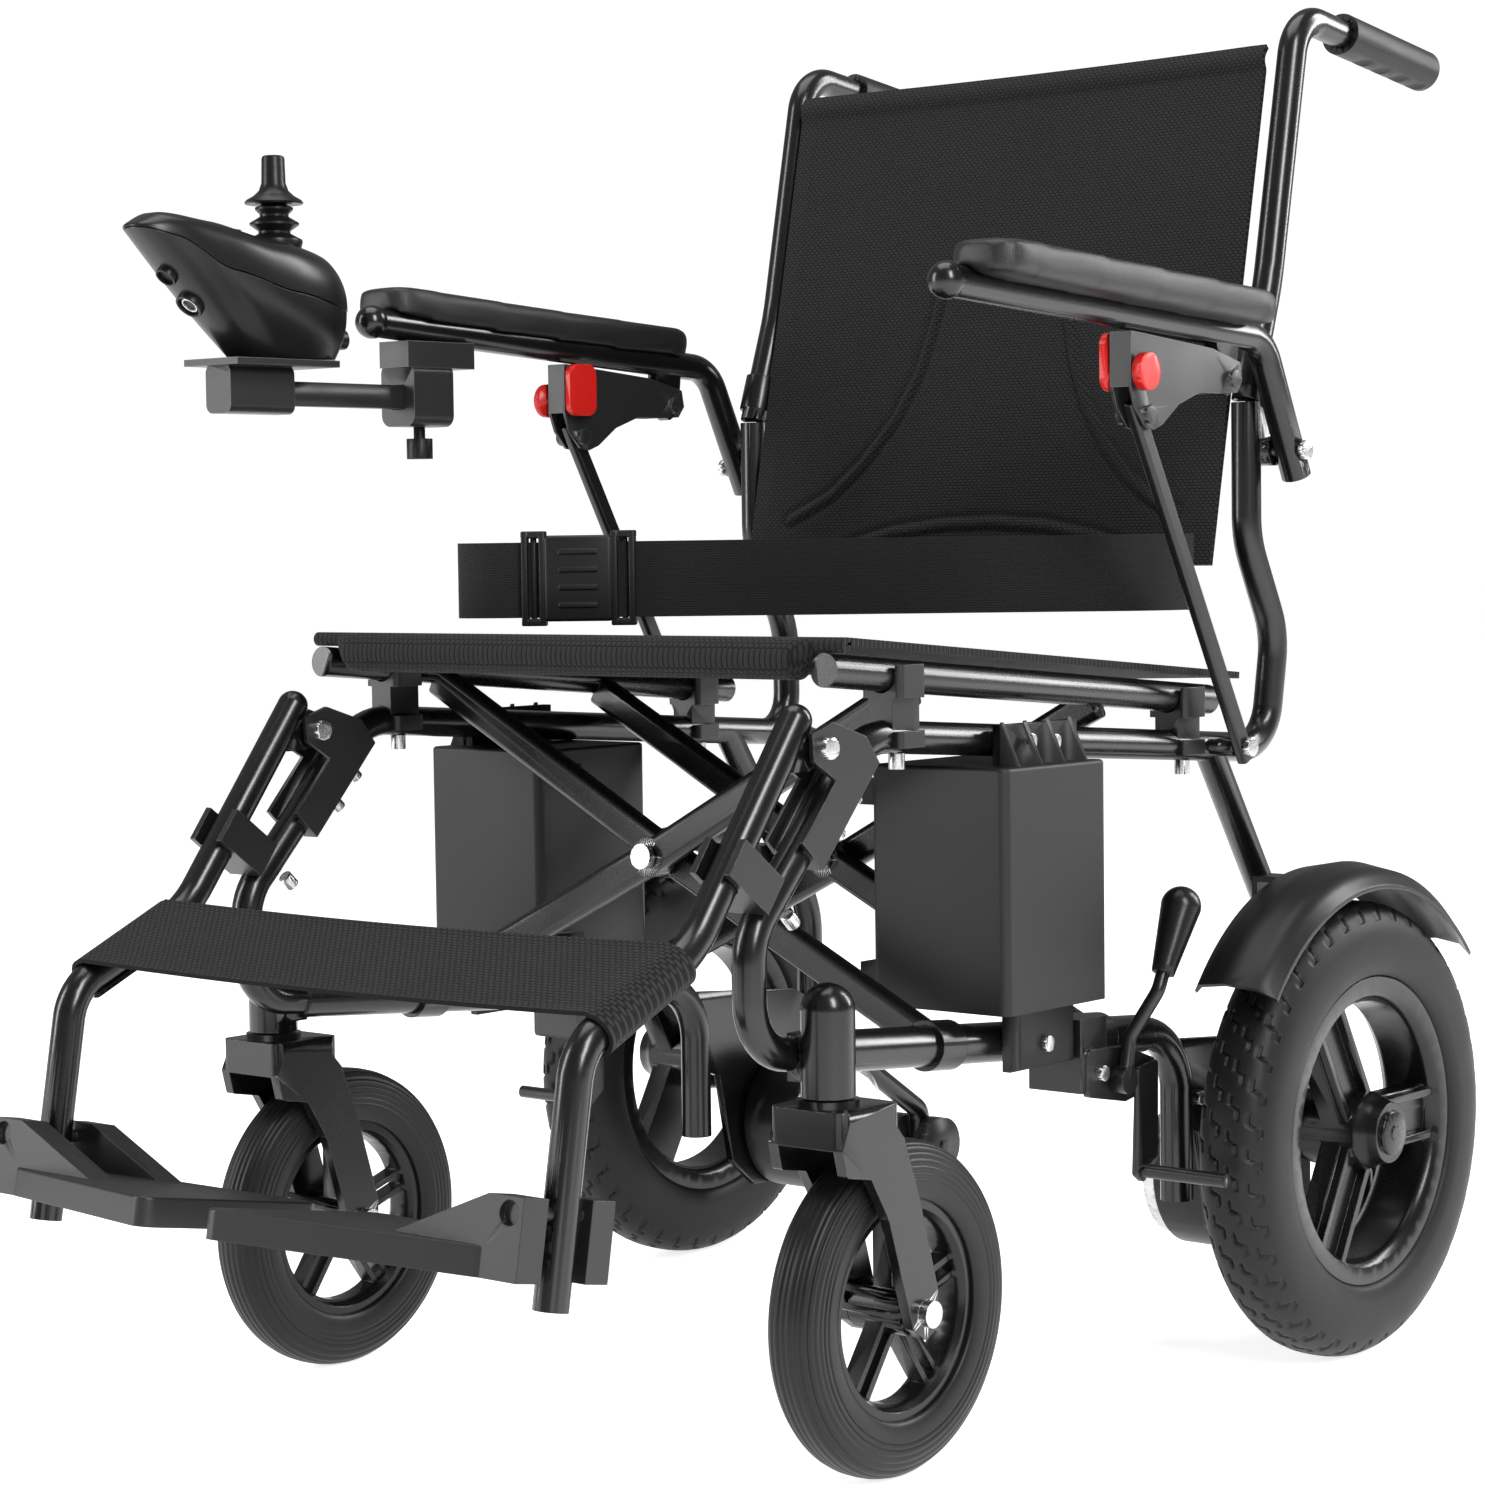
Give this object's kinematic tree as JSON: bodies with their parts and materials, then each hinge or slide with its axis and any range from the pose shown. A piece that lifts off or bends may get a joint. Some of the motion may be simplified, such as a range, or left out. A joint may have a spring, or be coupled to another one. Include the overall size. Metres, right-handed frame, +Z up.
{
  "type": "power wheelchair",
  "caption": "Folding power wheelchair with a cross brace, sling seat and back, flip-up armrests, joystick controller, swing-up footrests, drive wheels, swivel casters and push brakes.",
  "frame": {"origin": "On the floor, under the middle of the chair's overall length and width, with the wheels standing on z = 0.", "axes": "+Z is up. The chair faces -Y. +X is the user's left side, so the joystick controller is on the -X side."},
  "size_m": [0.66, 1.0149, 0.9128],
  "materials": {
    "frame_paint": "satin black powder coat",
    "bracket_paint": "satin black powder coat on pressed and cast brackets",
    "bolt_zinc": "bright zinc-plated screws and pins",
    "case_plastic": "fine-grained black housing plastic",
    "motor_paint": "black paint on the motor can, bare aluminium band at its inner end",
    "fender_plastic": "moulded black plastic",
    "drive_tyre": "black rubber with a shallow zigzag tread",
    "spoke_plastic": "glossy black moulded wheel",
    "roller_plastic": "hard black plastic roller",
    "fork_paint": "black coated casting, silver axle nuts",
    "caster_rubber": "black rubber with grooves round it",
    "brake_metal": "black coated steel with a black plastic grip",
    "pad_skin": "grained black vinyl over foam",
    "plate_metal": "bare steel front web, black coated cheeks",
    "button_plastic": "red moulded plastic",
    "grip_rubber": "soft black rubber with finger notches",
    "footplate_plastic": "black moulded plastic with a textured deck",
    "brace_paint": "satin black powder coat",
    "woven_strap": "coarse black woven webbing",
    "mesh_cloth": "black spacer mesh",
    "belt_webbing": "black woven webbing, plastic side-release buckle",
    "controller_plastic": "satin black moulded shells",
    "knob_rubber": "black soft-touch moulding",
    "boot_rubber": "ribbed black rubber bellows"
  },
  "bodies": {
    "frame_right": {"side_frame_right": "frame_paint", "frame_brackets_right": "bracket_paint", "frame_bolts_right": "bolt_zinc", "battery_right": "case_plastic", "drive_motor_right": "motor_paint", "fender_right": "fender_plastic", "back_cloth_lower": "mesh_cloth"},
    "frame_left": {"side_frame_left": "frame_paint", "frame_brackets_left": "bracket_paint", "frame_bolts_left": "bolt_zinc", "battery_left": "case_plastic", "drive_motor_left": "motor_paint", "fender_left": "fender_plastic"},
    "brace_outer": {"brace_outer": "brace_paint", "seat_sling": "mesh_cloth"},
    "brace_inner": {"brace_inner": "brace_paint"},
    "belt": {"seat_belt": "belt_webbing"},
    "back_right": {"back_tube_right": "frame_paint", "push_grip_right": "grip_rubber", "back_cloth_upper": "mesh_cloth"},
    "back_left": {"back_tube_left": "frame_paint", "push_grip_left": "grip_rubber"},
    "arm_right": {"arm_tube_right": "frame_paint", "arm_pad_right": "pad_skin", "controller_clamp": "bracket_paint"},
    "arm_left": {"arm_tube_left": "frame_paint", "arm_pad_left": "pad_skin"},
    "arm_bracket_left": {"arm_plate_left": "plate_metal"},
    "strut_left": {"arm_strut_left": "bracket_paint"},
    "release_left": {"arm_release_left": "button_plastic"},
    "rear_wheel_left": {"rear_tyre_left": "drive_tyre", "rear_rim_left": "spoke_plastic"},
    "fork_left": {"caster_fork_left": "fork_paint"},
    "caster_left": {"caster_tyre_left": "caster_rubber", "caster_rim_left": "spoke_plastic"},
    "anti_tip_left": {"anti_tip_wheels_left": "roller_plastic"},
    "lever_left": {"brake_lever_left": "brake_metal"},
    "shoe_left": {"brake_shoe_left": "brake_metal"},
    "plate_left": {"footplate_left": "footplate_plastic"},
    "arm_bracket_right": {"arm_plate_right": "plate_metal"},
    "strut_right": {"arm_strut_right": "bracket_paint"},
    "release_right": {"arm_release_right": "button_plastic"},
    "rear_wheel_right": {"rear_tyre_right": "drive_tyre", "rear_rim_right": "spoke_plastic"},
    "fork_right": {"caster_fork_right": "fork_paint"},
    "caster_right": {"caster_tyre_right": "caster_rubber", "caster_rim_right": "spoke_plastic"},
    "anti_tip_right": {"anti_tip_wheels_right": "roller_plastic"},
    "lever_right": {"brake_lever_right": "brake_metal"},
    "shoe_right": {"brake_shoe_right": "brake_metal"},
    "plate_right": {"footplate_right": "footplate_plastic"},
    "hanger_right": {"hanger_tube_right": "frame_paint", "calf_strap": "woven_strap"},
    "hanger_left": {"hanger_tube_left": "frame_paint"},
    "controller": {"controller_bar": "bracket_paint", "controller_lower": "controller_plastic", "controller_upper": "controller_plastic"},
    "stick_gimbal": {"joystick_boot": "boot_rubber"},
    "stick": {"joystick": "knob_rubber"},
    "screw": {"clamp_screw": "knob_rubber"}
  },
  "joints": [
    {"name": "fold", "type": "hinge", "parent": "frame_right", "child": "brace_outer", "pos_m": [-0.212, -0.0024, 0.23655], "axis": [0, -0.9964, 0.0847], "range_deg": [0, 29], "deforming": ["seat_sling", "back_cloth_lower", "back_cloth_upper", "calf_strap"]},
    {"name": "fold_scissor", "type": "hinge", "parent": "brace_outer", "child": "brace_inner", "pos_m": [0, -0.0024, 0.34105], "axis": [0, -0.9964, 0.0847], "range_deg": [-58, 0]},
    {"name": "fold_far_side", "type": "hinge", "parent": "brace_inner", "child": "frame_left", "pos_m": [0.212, -0.0024, 0.23655], "axis": [0, -0.9964, 0.0847], "range_deg": [0, 29]},
    {"name": "belt_lift", "type": "slide", "parent": "frame_right", "child": "belt", "axis": [0, 0, 1], "range_m": [0, 0.18], "deforming": ["seat_belt"]},
    {"name": "back_fold_left", "type": "hinge", "parent": "frame_left", "child": "back_left", "pos_m": [0.217, 0.2846, 0.64], "axis": [-1, 0, 0], "range_deg": [0, 115]},
    {"name": "arm_left", "type": "hinge", "parent": "frame_left", "child": "arm_left", "pos_m": [0.243, 0.2766, 0.6065], "axis": [-1, 0, 0], "range_deg": [0, 86]},
    {"name": "arm_bracket_left", "type": "hinge", "parent": "arm_left", "child": "arm_bracket_left", "pos_m": [0.243, 0.1926, 0.652], "axis": [1, 0, 0], "range_deg": [0, 98.05]},
    {"name": "strut_left", "type": "hinge", "parent": "frame_left", "child": "strut_left", "pos_m": [0.243, 0.2156, 0.41], "axis": [-1, 0, 0], "range_deg": [0, 30.54]},
    {"name": "arm_release_left", "type": "slide", "parent": "arm_bracket_left", "child": "release_left", "axis": [-1, 0, 0], "range_m": [0, 0.003], "stiffness_N_per_m": 400},
    {"name": "rear_wheel_left", "type": "hinge", "parent": "frame_left", "child": "rear_wheel_left", "pos_m": [0.29, 0.2656, 0.1525], "axis": [-1, 0, 0], "continuous": true},
    {"name": "caster_swivel_left", "type": "hinge", "parent": "frame_left", "child": "fork_left", "pos_m": [0.235, -0.2164, 0.25], "axis": [0, 0, 1], "continuous": true},
    {"name": "caster_roll_left", "type": "hinge", "parent": "fork_left", "child": "caster_left", "pos_m": [0.235, -0.1624, 0.1], "axis": [-1, 0, 0], "continuous": true},
    {"name": "anti_tip_roll_left", "type": "hinge", "parent": "frame_left", "child": "anti_tip_left", "pos_m": [0.212, 0.4556, 0.064], "axis": [-1, 0, 0], "continuous": true},
    {"name": "brake_left", "type": "hinge", "parent": "frame_left", "child": "lever_left", "pos_m": [0.24, 0.0696, 0.206], "axis": [1, 0, 0], "range_deg": [0, 45]},
    {"name": "brake_shoe_left", "type": "hinge", "parent": "frame_left", "child": "shoe_left", "pos_m": [0.24, 0.1016, 0.205], "axis": [1, 0, 0], "range_deg": [0, 12]},
    {"name": "hanger_left", "type": "hinge", "parent": "frame_left", "child": "hanger_left", "pos_m": [0.212, -0.2044, 0.431], "axis": [-1, 0, 0], "range_deg": [0, 75]},
    {"name": "footplate_left", "type": "hinge", "parent": "hanger_left", "child": "plate_left", "pos_m": [0.212, -0.4173, 0.1927], "axis": [0, 0.9842, -0.177], "range_deg": [0, 72.5]},
    {"name": "back_fold_right", "type": "hinge", "parent": "frame_right", "child": "back_right", "pos_m": [-0.217, 0.2846, 0.64], "axis": [-1, 0, 0], "range_deg": [0, 115]},
    {"name": "arm_right", "type": "hinge", "parent": "frame_right", "child": "arm_right", "pos_m": [-0.243, 0.2766, 0.6065], "axis": [-1, 0, 0], "range_deg": [0, 86]},
    {"name": "arm_bracket_right", "type": "hinge", "parent": "arm_right", "child": "arm_bracket_right", "pos_m": [-0.243, 0.1926, 0.652], "axis": [1, 0, 0], "range_deg": [0, 98.05]},
    {"name": "strut_right", "type": "hinge", "parent": "frame_right", "child": "strut_right", "pos_m": [-0.243, 0.2156, 0.41], "axis": [-1, 0, 0], "range_deg": [0, 30.54]},
    {"name": "arm_release_right", "type": "slide", "parent": "arm_bracket_right", "child": "release_right", "axis": [1, 0, 0], "range_m": [0, 0.003], "stiffness_N_per_m": 400},
    {"name": "rear_wheel_right", "type": "hinge", "parent": "frame_right", "child": "rear_wheel_right", "pos_m": [-0.29, 0.2656, 0.1525], "axis": [-1, 0, 0], "continuous": true},
    {"name": "caster_swivel_right", "type": "hinge", "parent": "frame_right", "child": "fork_right", "pos_m": [-0.235, -0.2164, 0.25], "axis": [0, 0, 1], "continuous": true},
    {"name": "caster_roll_right", "type": "hinge", "parent": "fork_right", "child": "caster_right", "pos_m": [-0.235, -0.1624, 0.1], "axis": [-1, 0, 0], "continuous": true},
    {"name": "anti_tip_roll_right", "type": "hinge", "parent": "frame_right", "child": "anti_tip_right", "pos_m": [-0.212, 0.4556, 0.064], "axis": [-1, 0, 0], "continuous": true},
    {"name": "brake_right", "type": "hinge", "parent": "frame_right", "child": "lever_right", "pos_m": [-0.24, 0.0696, 0.206], "axis": [1, 0, 0], "range_deg": [0, 45]},
    {"name": "brake_shoe_right", "type": "hinge", "parent": "frame_right", "child": "shoe_right", "pos_m": [-0.24, 0.1016, 0.205], "axis": [1, 0, 0], "range_deg": [0, 12]},
    {"name": "hanger_right", "type": "hinge", "parent": "frame_right", "child": "hanger_right", "pos_m": [-0.212, -0.2044, 0.431], "axis": [-1, 0, 0], "range_deg": [0, 75]},
    {"name": "footplate_right", "type": "hinge", "parent": "hanger_right", "child": "plate_right", "pos_m": [-0.212, -0.4173, 0.1927], "axis": [0, -0.9842, 0.177], "range_deg": [0, 72.5]},
    {"name": "controller_slide", "type": "slide", "parent": "arm_right", "child": "controller", "axis": [0, -1, 0], "range_m": [-0.02, 0.04]},
    {"name": "clamp_screw", "type": "hinge", "parent": "arm_right", "child": "screw", "pos_m": [-0.246, -0.0604, 0.62], "axis": [0, 0, 1], "continuous": true},
    {"name": "stick_fore_aft", "type": "hinge", "parent": "controller", "child": "stick_gimbal", "pos_m": [-0.246, -0.1904, 0.74], "axis": [1, 0, 0], "range_deg": [-15, 15], "stiffness_Nm_per_rad": 0.4, "deforming": ["joystick_boot"]},
    {"name": "stick_side", "type": "hinge", "parent": "stick_gimbal", "child": "stick", "pos_m": [-0.246, -0.1904, 0.74], "axis": [0, 1, 0], "range_deg": [-15, 15], "stiffness_Nm_per_rad": 0.4, "deforming": ["joystick_boot"]}
  ],
  "couplings": [
    {"joint": "fold_scissor", "follows": "fold", "ratio": -2},
    {"joint": "fold_far_side", "follows": "fold", "ratio": 1},
    {"joint": "belt_lift", "follows": "fold", "m_per_rad": 0.35},
    {"joint": "arm_bracket_left", "follows": "arm_left", "ratio": 1.14},
    {"joint": "strut_left", "follows": "arm_left", "ratio": 0.355},
    {"joint": "brake_shoe_left", "follows": "brake_left", "ratio": 0.26667},
    {"joint": "footplate_left", "follows": "fold", "ratio": 2.5},
    {"joint": "arm_bracket_right", "follows": "arm_right", "ratio": 1.14},
    {"joint": "strut_right", "follows": "arm_right", "ratio": 0.355},
    {"joint": "brake_shoe_right", "follows": "brake_right", "ratio": 0.26667},
    {"joint": "footplate_right", "follows": "fold", "ratio": 2.5},
    {"joint": "back_fold_left", "follows": "back_fold_right", "ratio": 1},
    {"joint": "hanger_left", "follows": "hanger_right", "ratio": 1}
  ]
}
